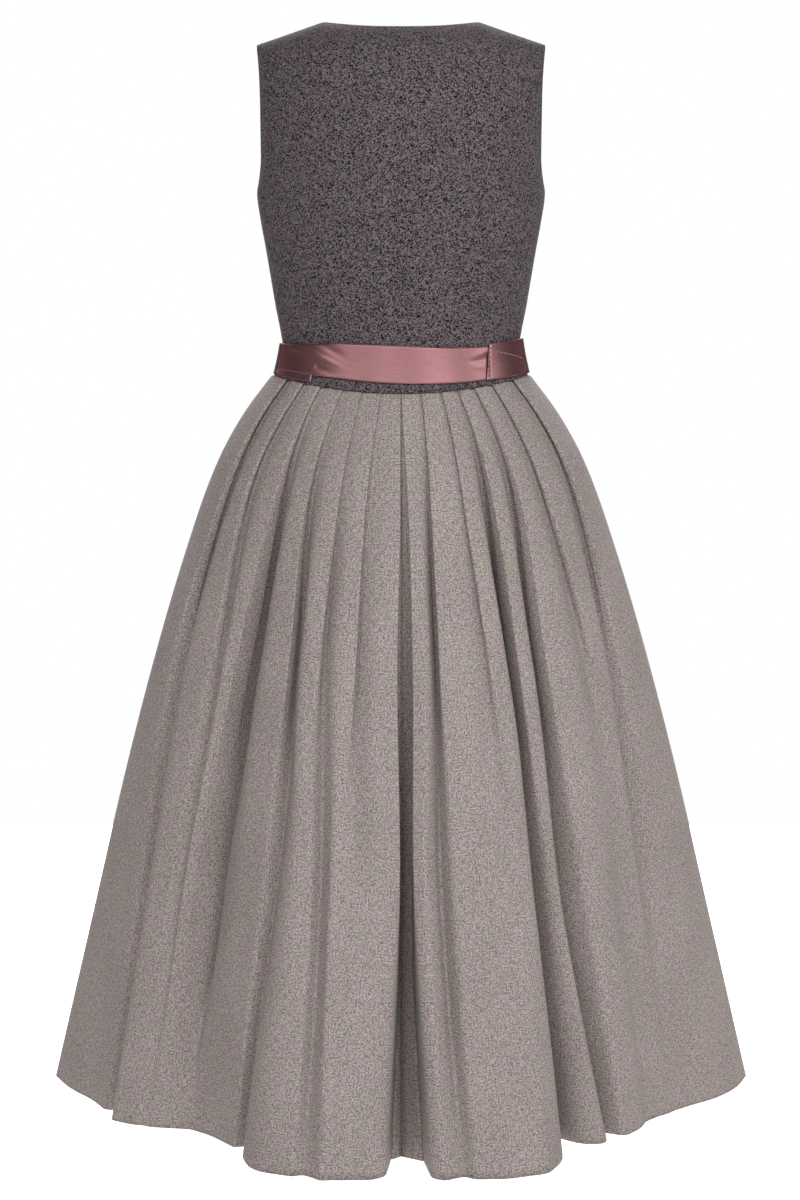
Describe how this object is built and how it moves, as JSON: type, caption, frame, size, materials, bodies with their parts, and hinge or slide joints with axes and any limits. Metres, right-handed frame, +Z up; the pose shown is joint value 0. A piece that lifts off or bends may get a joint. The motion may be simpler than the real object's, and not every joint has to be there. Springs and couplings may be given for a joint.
{
  "type": "sleeveless pleated dirndl",
  "caption": "Sleeveless wool dirndl held in its worn shape: fitted bodice, buttoned front, satin ribbon wound almost twice round the waist, and a long full skirt of knife pleats.",
  "frame": {"origin": "middle between the two shoulder straps, at the mean height of the shoulder seams, where the wearer's shoulders carry the dress", "axes": "+Z up along the standing wearer's body, +Y towards the back of the dress, +X towards the wearer's left side"},
  "size_m": [0.7416, 0.6223, 1.1075],
  "materials": {
    "bodice_tweed": "matt",
    "skirt_flannel": "matt",
    "ribbon_satin": "satin",
    "button_horn": "satin"
  },
  "bodies": {
    "root": {"bodice_back": "bodice_tweed", "bodice_front_left": "bodice_tweed", "bodice_front_right": "bodice_tweed", "skirt_back_left": "skirt_flannel", "skirt_back_right": "skirt_flannel", "skirt_front_left": "skirt_flannel", "skirt_front_right": "skirt_flannel", "belt_ribbon": "ribbon_satin", "button_1": "button_horn", "button_2": "button_horn", "button_3": "button_horn", "button_4": "button_horn", "button_5": "button_horn", "button_6": "button_horn", "button_7": "button_horn"}
  },
  "joints": []
}
